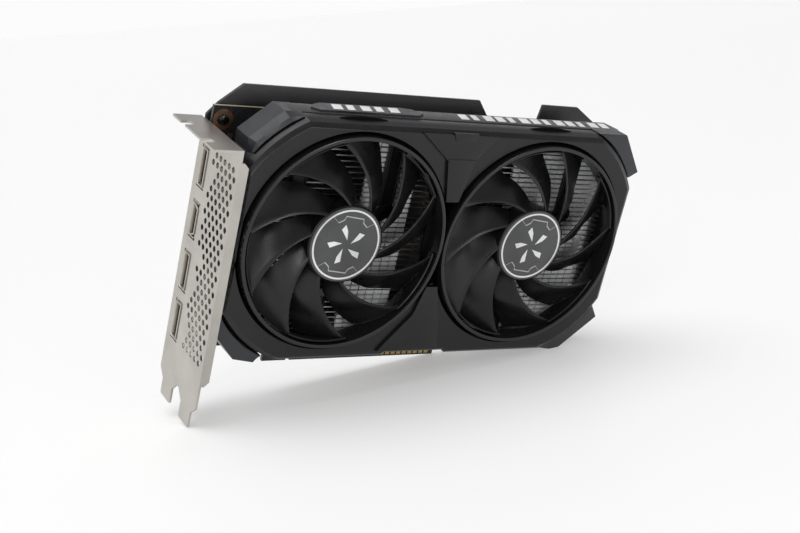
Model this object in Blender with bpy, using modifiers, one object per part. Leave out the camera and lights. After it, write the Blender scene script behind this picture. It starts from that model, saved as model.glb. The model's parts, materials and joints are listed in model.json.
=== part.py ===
"""Dual-slot graphics card with two axial fans, built as separate parts.

The card stands upright: +X runs along the card away from the bracket, the fans face -Y and +Z is up,
with the edge connector at the bottom. Dimensions below are in millimetres and are turned into metres
where geometry is made. Inside the card, x is measured from the bracket's outer face, y from the
bracket's front edge and z from the tips of the bracket's tabs; one empty, card_frame, then puts the
origin at the bottom centre of the card's bounding box.
"""
from math import asin, cos, degrees, pi, radians, sin, sqrt

import bmesh
import bpy
from mathutils import Vector

MM = 0.001
GAP = 0.3                      # clearance between touching parts

# Whole card
CARD_LENGTH = 199.0            # bracket face to the far corner guards
CARD_TOP = 134.6               # top of the backplate wing
ORIGIN_X = 93.7                # middle of the bounding box along the card
ORIGIN_Y = 20.25               # middle of the bounding box across the card

# Bracket
PLATE_T = 0.9
PLATE_W = 38.74
PLATE_H = 120.02
TAB_W = 10.19
SLOT_PITCH = 20.32
TAB_STRAIGHT = 6.9
FLANGE_OUT = 11.6
FLANGE_W = 41.5
NOTCH_W = 4.42
NOTCH_MIDDLE = 10.6            # front notch, across the card
NOTCH_DEPTH = 4.6
SIDE_FLANGE_W = 4.0
SIDE_FLANGE_Z = (20.5, 115.0)

# Vent field in the bracket
VENT_R = 1.35
VENT_ROW_PITCH = 3.41
VENT_COLUMN_PITCH = 4.0
VENT_TOP_Z = 110.7
VENT_FIRST_Y = (4.7, 2.7)      # even rows, odd rows
VENT_COUNTS = (5, 6, 4, 5, 5, 6, 5, 6, 5, 6, 5, 6, 4, 4, 5, 5, 4, 5, 5, 6, 5, 5, 4, 5, 5)

# Display sockets
PORT_Y = 31.2
PORT_DEPTH = 17.6
PORT_FRONT_X = 0.2
TONGUE_X = 4.7
DP_SIZE = (6.4, 16.9)          # across y, along z
DP_MOUTH = (5.0, 15.6)
HDMI_SIZE = (6.2, 15.2)
HDMI_MOUTH = (4.8, 13.9)
DP_Z = (102.0, 57.3, 35.3)
HDMI_Z = 79.7
WINDOW_MARGIN = 0.35

# Circuit board
PCB_Y = (34.8, 36.4)
PCB_X = (2.0, 168.0)
PCB_Z = (20.8, 126.5)
TONGUE_BOTTOM = 12.5
TONGUE_SPAN = (44.8, 133.0)
KEY_NOTCH = (56.3, 58.2)
HOOK_SPAN = (136.4, 140.6)
HOOK_BOTTOM = 15.2
HEADER_X = (95.6, 102.4)
HEADER_Z = (112.0, 118.4)
HEADER_FRONT = 29.4

# Backplate
BACK_Y = (39.0, 40.6)
VENT_WINDOW_X = (171.0, 189.0)
VENT_WINDOW_Z = (52.0, 112.0)
BOSS_SCREW = (6.6, 120.9)

# Cooler
GPU = (80.0, 80.0)
FIN_Y = (13.6, 25.6)
FIN_Z = (36.0, 128.0)
FIN_PITCH = 2.4
FIN_T = 0.5
FIN_SPINE = 0.8
FIN_INSET = 2.5                # from the shroud's outline to the fins' corners
LEFT_FINS_X = (14.0, 96.6)
RIGHT_FINS_X = (101.4, 191.0)
PIPE_R = 2.5
PIPE_Y = 28.1
PIPE_Z = (72.0, 80.0, 88.0)
COLD_PLATE_Y = (30.9, 32.2)
COLD_PLATE_HALF = 30.0
POST_OFFSET = 25.0
POST_R = 3.2

# Fans
FAN_X = (53.0, 145.6)
FAN_Z = 82.2
FAN_PITCH_ANGLE = 72.0         # five blade pairs
PAIR_CENTRE = (49.0, 31.0)     # first pair of each fan, degrees
PAIR_SPREAD = 35.0
HUB_R = 16.9
TIP_R = 43.5
BLADE_FRONT_Y = 0.8
BLADE_BACK_Y = 7.6
BLADE_SWEEP = 48.0
BLADE_CHORD = 20.0
BLADE_T = 1.1
EAR_R = 24.25
EAR_ANGLES = (28.0, 148.0, 268.0)
BASE_Y = (9.4, 10.8)
ARM_Y = (11.1, 13.1)
ARM_W = 7.0

# Shroud
RIM_Y = -1.0
RIM_R = (44.6, 46.7)
DUCT_END_Y = 9.4
FACE_Y = (1.6, 4.2)
SHOULDER_Y = 6.4
SKIRT_END_Y = 22.5
SHROUD_X = (5.2, 195.6)
SHROUD_Z = (30.8, 133.0)
SHROUD_WALL = 2.0
CORNER_R = 57.0
GUARD_FRONT = 4.8
ROUND_STEPS = 40

# Colours
BLACK_PLASTIC = (0.018, 0.018, 0.020)
GREY_PLASTIC = (0.045, 0.047, 0.052)
STEEL = (0.62, 0.60, 0.56)
ALUMINIUM = (0.75, 0.76, 0.78)


# ---------------------------------------------------------------- scene and materials
def clear_scene():
    for item in list(bpy.data.objects):
        bpy.data.objects.remove(item, do_unlink=True)


def make_collection(name):
    group = bpy.data.collections.new(name)
    bpy.context.scene.collection.children.link(group)
    return group


def material(name, colour, roughness, metallic=0.0):
    """One Principled material for one part."""
    made = bpy.data.materials.new(name)
    made.use_nodes = True
    shader = made.node_tree.nodes["Principled BSDF"]
    shader.inputs["Base Color"].default_value = (*colour, 1.0)
    shader.inputs["Roughness"].default_value = roughness
    shader.inputs["Metallic"].default_value = metallic
    return made


def move_to(obj, group):
    for owner in list(obj.users_collection):
        owner.objects.unlink(obj)
    group.objects.link(obj)


clear_scene()
PARTS = make_collection("graphics_card")
CUTTERS = make_collection("cutters")


def empty(name, location, parent=None):
    made = bpy.data.objects.new(name, None)
    made.empty_display_size = 0.01
    made.location = Vector(location) * MM
    made.parent = parent
    PARTS.objects.link(made)
    return made


CARD = empty("card_frame", (-ORIGIN_X, -ORIGIN_Y, 0.0))


def finish(obj, colour, roughness, metallic=0.0, parent=CARD, smooth=None):
    """Names the material after the part, parents the part and shades its round faces smooth."""
    obj.data.materials.clear()
    obj.data.materials.append(material(obj.name, colour, roughness, metallic))
    obj.parent = parent
    move_to(obj, PARTS)
    if smooth:
        obj.data.shade_smooth()
        obj.data.set_sharp_from_angle(angle=radians(smooth))
    return obj


def as_tool(obj):
    """Turns an object into a cutter or a piece to be joined on."""
    obj.hide_render = True
    obj.display_type = "WIRE"
    obj.parent = CARD
    move_to(obj, CUTTERS)
    return obj


def combine(obj, tool, operation):
    step = obj.modifiers.new(operation.lower(), "BOOLEAN")
    step.operation = operation
    step.solver = "EXACT"
    step.object = as_tool(tool)
    return obj


def cut(obj, tool):
    return combine(obj, tool, "DIFFERENCE")


def join(obj, tool):
    return combine(obj, tool, "UNION")


def bevel(obj, width, segments=1, angle=40.0):
    step = obj.modifiers.new("bevel", "BEVEL")
    step.width = width * MM
    step.segments = segments
    step.limit_method = "ANGLE"
    step.angle_limit = radians(angle)
    return obj


# ---------------------------------------------------------------- shape helpers
def box(name, x, y, z):
    """A block between the given low and high values on each axis."""
    middle = Vector((sum(x) / 2, sum(y) / 2, sum(z) / 2)) * MM
    bpy.ops.mesh.primitive_cube_add(size=1.0, location=middle)
    made = bpy.context.object
    made.name = name
    made.scale = Vector((x[1] - x[0], y[1] - y[0], z[1] - z[0])) * MM
    bpy.ops.object.transform_apply(location=False, rotation=False, scale=True)
    return made


def rod(name, radius, centre, y, steps=16):
    """A cylinder along Y; centre is (x, z)."""
    bpy.ops.mesh.primitive_cylinder_add(
        vertices=steps,
        radius=radius * MM,
        depth=(y[1] - y[0]) * MM,
        location=Vector((centre[0], sum(y) / 2, centre[1])) * MM,
        rotation=(pi / 2, 0.0, 0.0),
    )
    made = bpy.context.object
    made.name = name
    return made


def curve_object(name, dimensions):
    data = bpy.data.curves.new(name, "CURVE")
    data.dimensions = dimensions
    made = bpy.data.objects.new(name, data)
    bpy.context.scene.collection.objects.link(made)
    return made


def as_mesh(curve):
    """Replaces a curve object with a welded mesh object in the same place."""
    bpy.context.view_layer.update()
    evaluated = curve.evaluated_get(bpy.context.evaluated_depsgraph_get())
    data = bpy.data.meshes.new_from_object(evaluated)
    work = bmesh_from(data)
    bmesh.ops.remove_doubles(work, verts=work.verts, dist=0.00001)
    work.to_mesh(data)
    work.free()
    made = bpy.data.objects.new(curve.name, data)
    bpy.context.scene.collection.objects.link(made)
    made.matrix_world = curve.matrix_world
    name = curve.name
    bpy.data.objects.remove(curve)
    made.name = name
    return made


def bmesh_from(data):
    work = bmesh.new()
    work.from_mesh(data)
    return work


AXIS_TURN = {
    "X": (pi / 2, 0.0, pi / 2),
    "Y": (pi / 2, 0.0, 0.0),
    "Z": (0.0, 0.0, 0.0),
}


def plate(name, axis, span, *loops):
    """A flat outline, with any further loops as holes, filled and extruded along an axis.

    A loop's points are (y, z) for axis X, (x, z) for axis Y and (x, y) for axis Z.
    """
    made = curve_object(name, "2D")
    made.data.fill_mode = "BOTH"
    made.data.extrude = (span[1] - span[0]) / 2 * MM
    for loop in loops:
        spline = made.data.splines.new("POLY")
        spline.points.add(len(loop) - 1)
        spline.use_cyclic_u = True
        for point, (u, v) in zip(spline.points, loop):
            point.co = (u * MM, v * MM, 0.0, 1.0)
    made.rotation_euler = AXIS_TURN[axis]
    made.location["XYZ".index(axis)] = sum(span) / 2 * MM
    return as_mesh(made)


def arc(centre, radius, start, end, steps):
    """Points on an arc, from one angle to another in degrees."""
    return [
        (
            centre[0] + radius * cos(radians(start + (end - start) * i / steps)),
            centre[1] + radius * sin(radians(start + (end - start) * i / steps)),
        )
        for i in range(steps + 1)
    ]


def circle(centre, radius, steps):
    return arc(centre, radius, 0.0, 360.0 - 360.0 / steps, steps - 1)


def rectangle(u, v):
    return [(u[0], v[0]), (u[1], v[0]), (u[1], v[1]), (u[0], v[1])]


def around(middle, size):
    return (middle - size / 2, middle + size / 2)


def turned(name, profile, steps=32, closed=False):
    """A profile of (radius, y) points turned about the Y axis through the object's origin.

    The profile runs down its outer side, from high y to low y.
    """
    data = bpy.data.meshes.new(name)
    work = bmesh.new()
    points = [work.verts.new((r * MM, 0.0, y * MM)) for r, y in profile]
    for a, b in zip(points, points[1:]):
        work.edges.new((a, b))
    if closed:
        work.edges.new((points[-1], points[0]))
    work.to_mesh(data)
    work.free()
    made = bpy.data.objects.new(name, data)
    bpy.context.scene.collection.objects.link(made)
    made.rotation_euler = (-pi / 2, 0.0, 0.0)
    turn = made.modifiers.new("turn", "SCREW")
    turn.steps = steps
    turn.render_steps = steps
    turn.use_merge_vertices = True
    turn.merge_threshold = 0.00001
    turn.use_smooth_shade = True
    return made


def ring_profile(inner, outer, y):
    return [(outer, y[1]), (outer, y[0]), (inner, y[0]), (inner, y[1])]


def smooth_route(points, per_span=4):
    """Points along a Catmull-Rom curve through the given ones."""
    route = [Vector(p) for p in points]
    ends = [route[0] * 2 - route[1], *route, route[-1] * 2 - route[-2]]
    made = []
    for a, b, c, d in zip(ends, ends[1:], ends[2:], ends[3:]):
        for i in range(per_span):
            t = i / per_span
            made.append(
                0.5 * (2 * b + (c - a) * t + (2 * a - 5 * b + 4 * c - d) * t ** 2
                       + (3 * b - 3 * c + d - a) * t ** 3)
            )
    return [*made, route[-1]]


def tube(name, radius, points):
    """A round bar or lead along a route."""
    made = curve_object(name, "3D")
    made.data.bevel_depth = radius * MM
    made.data.bevel_resolution = 2
    made.data.use_fill_caps = True
    spline = made.data.splines.new("POLY")
    spline.points.add(len(points) - 1)
    for point, place in zip(spline.points, points):
        point.co = (*(Vector(place) * MM), 1.0)
    return as_mesh(made)


# ---------------------------------------------------------------- bracket and sockets
def tab_outline():
    """Outline of the bracket's plate in (y, z): two tabs below, straight sides above."""
    margin = (PLATE_W - SLOT_PITCH - TAB_W) / 2
    first = (margin, margin + TAB_W)
    second = (first[0] + SLOT_PITCH, first[1] + SLOT_PITCH)
    shoulder = TAB_STRAIGHT + margin
    outer_shoulder = shoulder - 0.5
    return [
        (0.0, outer_shoulder),
        (first[0], TAB_STRAIGHT),
        (first[0], 0.6),
        (first[0] + 0.6, 0.0),
        (first[1] - 0.6, 0.0),
        (first[1], 0.6),
        (first[1], TAB_STRAIGHT),
        (first[1] + margin, shoulder),
        (second[0] - margin, shoulder),
        (second[0], TAB_STRAIGHT),
        (second[0], 0.6),
        (second[0] + 0.6, 0.0),
        (second[1] - 0.6, 0.0),
        (second[1], 0.6),
        (second[1], TAB_STRAIGHT),
        (PLATE_W, outer_shoulder),
        (PLATE_W, PLATE_H),
        (0.0, PLATE_H),
    ]


def vent_loops():
    """Hexagonal vent holes in staggered rows, in (y, z)."""
    loops = []
    for row, count in enumerate(VENT_COUNTS):
        z = VENT_TOP_Z - row * VENT_ROW_PITCH
        first = VENT_FIRST_Y[row % 2]
        for column in range(count):
            y = first + column * VENT_COLUMN_PITCH
            loops.append(circle((y, z), VENT_R, 6))
    return loops


def port_window(size, z):
    height = size[0] + 2 * WINDOW_MARGIN
    width = size[1] + 2 * WINDOW_MARGIN
    return rectangle(around(PORT_Y, height), around(z, width))


def flange_outline():
    """Top flange in (x, y), with an open screw notch for each slot."""
    half = NOTCH_W / 2
    floor = -FLANGE_OUT + NOTCH_DEPTH
    points = [(PLATE_T / 2, 0.0), (PLATE_T / 2, FLANGE_W), (-FLANGE_OUT, FLANGE_W)]
    for middle in (SLOT_PITCH + NOTCH_MIDDLE, NOTCH_MIDDLE):
        points.append((-FLANGE_OUT, middle + half))
        points += arc((floor - half, middle), half, 90.0, -90.0, 6)
        points.append((-FLANGE_OUT, middle - half))
    points.append((-FLANGE_OUT, 0.0))
    return points


def prisms(name, span, loops):
    """One cutter made of many straight prisms along X, each from its own loop of (y, z) points."""
    data = bpy.data.meshes.new(name)
    work = bmesh.new()
    for loop in loops:
        low, high = ([work.verts.new(Vector((x, y, z)) * MM) for y, z in loop] for x in span)
        work.faces.new(low[::-1])
        work.faces.new(high)
        for i in range(len(loop)):
            j = (i + 1) % len(loop)
            work.faces.new((low[i], low[j], high[j], high[i]))
    work.to_mesh(data)
    work.free()
    made = bpy.data.objects.new(name, data)
    bpy.context.scene.collection.objects.link(made)
    return made


def make_bracket():
    windows = [port_window(DP_SIZE, z) for z in DP_Z]
    windows.append(port_window(HDMI_SIZE, HDMI_Z))
    made = plate("io_bracket", "X", (0.0, PLATE_T), tab_outline())
    top = plate("flange", "Z", (PLATE_H - PLATE_T, PLATE_H), flange_outline())
    corner = 2.0
    side = plate(
        "side_flange",
        "Y",
        (0.0, PLATE_T),
        [
            (PLATE_T / 2, SIDE_FLANGE_Z[0]),
            (SIDE_FLANGE_W - corner, SIDE_FLANGE_Z[0]),
            (SIDE_FLANGE_W, SIDE_FLANGE_Z[0] + corner),
            (SIDE_FLANGE_W, SIDE_FLANGE_Z[1] - corner),
            (SIDE_FLANGE_W - corner, SIDE_FLANGE_Z[1]),
            (PLATE_T / 2, SIDE_FLANGE_Z[1]),
        ],
    )
    join(made, top)
    join(made, side)
    cut(made, prisms("bracket_openings", (-1.0, PLATE_T + 1.0), [*windows, *vent_loops()]))
    finish(made, STEEL, 0.42, 1.0)


def make_port(name, z, size, mouth, taper):
    """A display socket: a metal shell with a mouth and a contact tongue set back inside it."""
    half_y = size[0] / 2
    half_z = size[1] / 2
    outline = [
        (PORT_Y - half_y, z - half_z + taper),
        (PORT_Y - half_y + taper, z - half_z),
        (PORT_Y + half_y, z - half_z),
        (PORT_Y + half_y, z + half_z),
        (PORT_Y - half_y + taper, z + half_z),
        (PORT_Y - half_y, z + half_z - taper),
    ]
    made = plate(name, "X", (PORT_FRONT_X, PORT_FRONT_X + PORT_DEPTH), outline)
    hollow = rectangle(around(PORT_Y, mouth[0]), around(z, mouth[1]))
    cut(made, plate(name + "_mouth", "X", (-1.0, 12.0), hollow))
    tongue = box(name + "_tongue", (TONGUE_X, 13.0), around(PORT_Y, 1.3), around(z, mouth[1] - 3.0))
    join(made, tongue)
    finish(made, (0.50, 0.48, 0.44), 0.35, 1.0)


# ---------------------------------------------------------------- circuit board and what it carries
def pcb_outline():
    return [
        (PCB_X[0], PCB_Z[0]),
        (TONGUE_SPAN[0], PCB_Z[0]),
        (TONGUE_SPAN[0], TONGUE_BOTTOM),
        (KEY_NOTCH[0], TONGUE_BOTTOM),
        (KEY_NOTCH[0], PCB_Z[0] - 1.0),
        (KEY_NOTCH[1], PCB_Z[0] - 1.0),
        (KEY_NOTCH[1], TONGUE_BOTTOM),
        (TONGUE_SPAN[1], TONGUE_BOTTOM),
        (TONGUE_SPAN[1], PCB_Z[0]),
        (HOOK_SPAN[0], PCB_Z[0]),
        (HOOK_SPAN[0], HOOK_BOTTOM),
        (HOOK_SPAN[1], HOOK_BOTTOM),
        (HOOK_SPAN[1], PCB_Z[0]),
        (PCB_X[1], PCB_Z[0]),
        (PCB_X[1], PCB_Z[1]),
        (PCB_X[0], PCB_Z[1]),
    ]


def post_places():
    return [
        (GPU[0] + sx * POST_OFFSET, GPU[1] + sz * POST_OFFSET)
        for sx in (-1, 1)
        for sz in (-1, 1)
    ]


def make_pcb():
    holes = [circle(place, 1.9, 12) for place in (*post_places(), BOSS_SCREW)]
    made = plate("pcb", "Y", PCB_Y, pcb_outline(), *holes)
    finish(made, (0.012, 0.013, 0.013), 0.45)


def make_contacts():
    """Gold contact strip on the edge connector's front: a comb of fingers on a thin rail."""
    pitch = 3.0
    first = KEY_NOTCH[1] + 0.8
    top = TONGUE_BOTTOM + 7.0
    bottom = TONGUE_BOTTOM + 1.0
    rail = 0.5
    count = int((TONGUE_SPAN[1] - first - 1.0) / pitch)
    outline = [(first, top)]
    for i in range(count):
        x = first + i * pitch
        outline += [(x, bottom), (x + pitch * 0.7, bottom)]
        if i < count - 1:
            outline += [(x + pitch * 0.7, top - rail), (x + pitch, top - rail)]
    outline.append((first + (count - 0.3) * pitch, top))
    made = plate("edge_contacts", "Y", (PCB_Y[0] - 0.5, PCB_Y[0] - GAP), outline)
    finish(made, (0.83, 0.60, 0.25), 0.28, 1.0)


def make_chip(name, centre, size, y, colour, roughness=0.4):
    made = box(name, around(centre[0], size), y, around(centre[1], size))
    bevel(made, 0.25)
    finish(made, colour, roughness)


def make_board_parts():
    top = PCB_Y[0] - GAP
    make_chip("gpu_substrate", GPU, 33.0, (33.5, top), (0.05, 0.10, 0.06))
    make_chip("gpu_die", GPU, 15.0, (32.5, 33.5 - GAP), (0.30, 0.31, 0.33), 0.15)
    chips = [(124.0, 66.0), (124.0, 82.0), (64.0, 117.5), (82.0, 117.5)]
    for number, place in enumerate(chips, 1):
        make_chip(f"memory_{number}", place, 12.0, (33.3, top), (0.02, 0.02, 0.02))
    for number in range(3):
        place = (148.0, 46.0 + 14.0 * number)
        make_chip(f"inductor_{number + 1}", place, 8.4, (31.0, top), (0.16, 0.16, 0.17), 0.6)
    for number in range(3):
        place = (158.0, 46.0 + 14.0 * number)
        made = rod(f"capacitor_{number + 1}", 3.15, place, (31.0, top), 20)
        bevel(made, 0.3)
        finish(made, ALUMINIUM, 0.3, 1.0, smooth=35)


def make_power_connector():
    """Eight-way power socket: two rows of four square wells, opening upwards."""
    pitch = 4.2
    well = 3.3
    x = (140.0, 158.4)
    y = (FIN_Y[1] + GAP, PCB_Y[0] - GAP)
    z = (110.0, 126.0)
    made = box("power_connector", x, y, z)
    bevel(made, 0.4)
    middle = sum(x) / 2
    wells = [
        box(
            f"power_well_{column}_{row}",
            around(middle + (column - 1.5) * pitch, well),
            around(sum(y) / 2 + (row - 0.5) * pitch, well),
            (z[0] + 4.0, z[1] + 1.0),
        )
        for column in range(4)
        for row in range(2)
    ]
    for tool in wells:
        cut(made, tool)
    finish(made, (0.02, 0.02, 0.02), 0.5)


def make_fan_header():
    made = box("fan_header", HEADER_X, (HEADER_FRONT, PCB_Y[0] - GAP), HEADER_Z)
    bevel(made, 0.3)
    finish(made, (0.80, 0.79, 0.74), 0.5)


# ---------------------------------------------------------------- backplate and cooler
def backplate_outline():
    """Rear cover in (x, z); its top wing is cut away above the power socket."""
    return [
        (1.3, 26.0),
        (4.0, 23.4),
        (190.0, 23.4),
        (197.0, 31.0),
        (197.0, 125.0),
        (194.5, 128.4),
        (184.0, CARD_TOP),
        (163.8, CARD_TOP),
        (162.6, 126.6),
        (136.0, 126.6),
        (129.2, CARD_TOP),
        (15.2, CARD_TOP),
        (5.6, 126.5),
        (1.3, 121.4),
    ]


def make_backplate():
    window = rectangle(VENT_WINDOW_X, VENT_WINDOW_Z)
    made = plate("backplate", "Y", BACK_Y, backplate_outline(), window)
    join(made, rod("boss", 3.6, BOSS_SCREW, (PCB_Y[1] + GAP, BACK_Y[0] + 0.8)))
    cut(made, rod("boss_hole", 1.8, BOSS_SCREW, (PCB_Y[1] - 1.0, BACK_Y[0] + 0.2)))
    finish(made, BLACK_PLASTIC, 0.5, 0.6)


def make_screw(name, place, head, shank, head_r, shank_r, colour=(0.03, 0.03, 0.03)):
    """A screw along Y; head and shank are spans of y that meet."""
    made = rod(name, head_r, place, head, 12)
    overlap = 0.4
    span = (shank[0] - overlap, shank[1]) if shank[1] > head[1] else (shank[0], shank[1] + overlap)
    join(made, rod(name + "_shank", shank_r, place, span, 8))
    finish(made, colour, 0.35, 1.0, smooth=40)


def comb_outline():
    """Side view of the fins in (y, z): thin plates on a spine at their back."""
    front, back = FIN_Y
    spine = back - FIN_SPINE
    count = int((FIN_Z[1] - FIN_Z[0]) / FIN_PITCH)
    points = [(back, FIN_Z[0]), (back, FIN_Z[0] + count * FIN_PITCH + FIN_T)]
    for i in range(count, -1, -1):
        z = FIN_Z[0] + i * FIN_PITCH
        points += [(front, z + FIN_T), (front, z)]
        if i:
            points += [(spine, z), (spine, z - FIN_PITCH + FIN_T)]
    return points


def make_fins():
    for name, span in (("fin_stack_left", LEFT_FINS_X), ("fin_stack_right", RIGHT_FINS_X)):
        made = plate(name, "X", span, comb_outline())
        depth = (FIN_Y[0] - 1.0, FIN_Y[1] + 1.0)
        combine(made, plate(name + "_limit", "Y", depth, shroud_outline(FIN_INSET)), "INTERSECT")
        finish(made, ALUMINIUM, 0.3, 1.0)


def make_heat_pipes():
    for number, z in enumerate(PIPE_Z, 1):
        spread = (z - PIPE_Z[1]) * 1.6
        route = [
            (26.0, PIPE_Y, z),
            (60.0, PIPE_Y, z),
            (104.0, PIPE_Y, z),
            (120.0, PIPE_Y, z + spread * 0.5),
            (136.0, PIPE_Y, z + spread),
            (182.0, PIPE_Y, z + spread),
        ]
        made = tube(f"heat_pipe_{number}", PIPE_R, smooth_route(route, 3))
        finish(made, (0.72, 0.45, 0.30), 0.25, 1.0, smooth=50)


def make_cold_plate():
    half = COLD_PLATE_HALF
    made = box("cold_plate", around(GPU[0], 2 * half), COLD_PLATE_Y, around(GPU[1], 2 * half))
    for number, place in enumerate(post_places()):
        span = (COLD_PLATE_Y[1] - 0.5, PCB_Y[0] - GAP)
        join(made, rod(f"post_{number}", POST_R, place, span, 10))
        cut(made, rod(f"post_hole_{number}", 1.8, place, (COLD_PLATE_Y[1] + 0.2, PCB_Y[0] + 1.0), 8))
    finish(made, (0.80, 0.78, 0.74), 0.2, 1.0)
    for number, place in enumerate(post_places(), 1):
        make_screw(
            f"cooler_screw_{number}",
            place,
            (PCB_Y[1] + GAP, PCB_Y[1] + GAP + 1.6),
            (COLD_PLATE_Y[1] + 0.6, PCB_Y[1] + GAP),
            3.0,
            1.45,
        )


# ---------------------------------------------------------------- shroud
def shroud_outline(inset=0.0, left_inset=None, bottom_inset=None):
    """Outline in (x, z): a long body whose four corners follow arcs about the fans."""
    radius = CORNER_R - inset
    left = SHROUD_X[0] + (inset if left_inset is None else left_inset)
    right = SHROUD_X[1] - inset
    bottom = SHROUD_Z[0] + (inset if bottom_inset is None else bottom_inset)
    top = SHROUD_Z[1] - inset

    def steep(fan, x):
        return degrees(asin(sqrt(radius ** 2 - (x - FAN_X[fan]) ** 2) / radius))

    def shallow(z):
        return degrees(asin(abs(z - FAN_Z) / radius))

    def sweep(fan, start, end):
        return arc((FAN_X[fan], FAN_Z), radius, start, end, 6)

    return [
        *sweep(1, 360.0 - shallow(bottom), 360.0 - steep(1, right)),
        *sweep(1, steep(1, right), shallow(top)),
        *sweep(0, 180.0 - shallow(top), 180.0 - steep(0, left)),
        *sweep(0, 180.0 + steep(0, left), 180.0 + shallow(bottom)),
    ]


def centre_gap(sign):
    """The three-cornered opening between the two rims, above or below their tangent point."""
    radius = RIM_R[1] + 0.5
    middle = sum(FAN_X) / 2
    far = 18.6
    near = 11.4
    left = [
        (FAN_X[0] + sqrt(radius ** 2 - dz ** 2), FAN_Z + sign * dz)
        for dz in (far, (far + near) / 2, near)
    ]
    return [*left, *[(2 * middle - x, z) for x, z in reversed(left)]]


def centre_plate(sign, top_half, bottom_half, near, far, knee):
    """Raised wedge between the fans, pointing at their tangent point."""
    middle = sum(FAN_X) / 2
    knee_half, knee_z = knee
    points = [
        (middle - bottom_half, FAN_Z + sign * near),
        (middle + bottom_half, FAN_Z + sign * near),
        (middle + knee_half, FAN_Z + sign * knee_z),
        (middle + top_half, FAN_Z + sign * far),
        (middle - top_half, FAN_Z + sign * far),
        (middle - knee_half, FAN_Z + sign * knee_z),
    ]
    return points


def ear_place(fan, angle):
    return (FAN_X[fan] + EAR_R * cos(radians(angle)), FAN_Z + EAR_R * sin(radians(angle)))


def make_shroud():
    holes = [circle((x, FAN_Z), RIM_R[0] + 0.8, ROUND_STEPS) for x in FAN_X]
    gaps = [centre_gap(1), centre_gap(-1)]
    made = plate("shroud", "Y", FACE_Y, shroud_outline(2.4, 0.5, 1.2), *holes, *gaps)
    shoulder = plate("shoulder", "Y", (FACE_Y[1] - 0.6, SHOULDER_Y + 2.0), shroud_outline(),
                     shroud_outline(3.6, 1.7, 2.2))
    join(made, shoulder)
    skirt = plate("skirt", "Y", (SHOULDER_Y + 1.0, SKIRT_END_Y), shroud_outline(),
                  shroud_outline(SHROUD_WALL))
    join(made, skirt)
    for fan, x in enumerate(FAN_X):
        duct = turned(f"duct_{fan}", ring_profile(*RIM_R, (RIM_Y, DUCT_END_Y)), ROUND_STEPS, True)
        duct.location = Vector((x, 0.0, FAN_Z)) * MM
        join(made, duct)
    upper = centre_plate(1, 18.0, 2.6, 19.0, SHROUD_Z[1] - FAN_Z - 3.0, (6.5, 37.2))
    lower = centre_plate(-1, 21.0, 2.6, 19.0, FAN_Z - SHROUD_Z[0] - 3.0, (15.0, 36.0))
    for name, outline in (("upper_wedge", upper), ("lower_wedge", lower)):
        join(made, plate(name, "Y", (FACE_Y[0] - 0.9, FACE_Y[0] + 0.5), outline))
    for fan in (0, 1):
        for number, angle in enumerate(EAR_ANGLES):
            x, z = ear_place(fan, angle)
            reach = (z - 4.0, SHROUD_Z[1] - 1.0) if z > FAN_Z else (SHROUD_Z[0] + 1.0, z + 4.0)
            join(made, box(f"arm_{fan}_{number}", around(x, ARM_W), ARM_Y, reach))
            cut(made, rod(f"arm_hole_{fan}_{number}", 1.3, (x, z), (ARM_Y[0] - 1, ARM_Y[1] + 1), 12))
    finish(made, BLACK_PLASTIC, 0.42)


def guard(name, outer, fan, start, end, front=GUARD_FRONT):
    """A corner guard: a block between an arc about the fan and an angular outer line."""
    inner = arc((FAN_X[fan], FAN_Z), CORNER_R + GAP, start, end, 6)
    made = plate(name, "Y", (front, SKIRT_END_Y), [*outer, *reversed(inner)])
    finish(made, GREY_PLASTIC, 0.5)


def make_guards():
    top = SHROUD_Z[1] + GAP
    right = CARD_LENGTH
    top_left = [(7.0, 116.7), (7.0, 121.8), (20.0, top), (27.4, top)]
    top_right = [(171.4, top), (187.0, top), (right, 116.4), (195.0, 114.0)]
    bottom_left = [(26.5, 30.4), (24.5, 27.8), (15.2, 29.6), (7.0, 38.9), (6.1, 49.0)]
    bottom_right = [(194.2, 50.6), (right - 0.6, 44.5), (179.4, 27.8), (168.0, 29.6)]
    guard("corner_guard_top_left", top_left, 0, 142.0, 117.6, 7.2)
    guard("corner_guard_top_right", top_right, 1, 62.4, 33.4)
    guard("corner_guard_bottom_left", bottom_left, 0, 243.5, 216.0)
    guard("corner_guard_bottom_right", bottom_right, 1, 326.5, 295.0)


def make_badge():
    """Thin raised plate on the top edge, with cut corners."""
    outline = [
        (33.4, 15.4),
        (36.0, 12.4),
        (82.0, 12.4),
        (85.6, 15.6),
        (82.6, 20.4),
        (78.0, 21.6),
        (40.0, 21.6),
        (36.4, 19.4),
    ]
    made = plate("badge_plate", "Z", (SHROUD_Z[1] + GAP, SHROUD_Z[1] + 1.2), outline)
    finish(made, GREY_PLASTIC, 0.5)


# ---------------------------------------------------------------- fans
def blade_station(tip_angle, share, chord_share):
    """A point on a blade: share runs from the hub to the tip, chord_share from front to back."""
    root = HUB_R - 0.7
    radius = root + (TIP_R - root) * share
    front = tip_angle - BLADE_SWEEP * (1.0 - share ** 0.72)
    angle = front - BLADE_CHORD * chord_share
    bow = 1.0 - (2.0 * chord_share - 1.0) ** 2
    depth = BLADE_FRONT_Y + (BLADE_BACK_Y - BLADE_FRONT_Y) * chord_share - 0.6 * bow
    depth += BLADE_T / 2 * (1.0 - 2.0 * chord_share)
    return (radius * cos(radians(angle)), depth, radius * sin(radians(angle)))


def pair_angles(fan):
    """Tip angles of the ten blades, in five linked pairs."""
    return [
        (PAIR_CENTRE[fan] + FAN_PITCH_ANGLE * k - PAIR_SPREAD / 2,
         PAIR_CENTRE[fan] + FAN_PITCH_ANGLE * k + PAIR_SPREAD / 2)
        for k in range(5)
    ]


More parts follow.
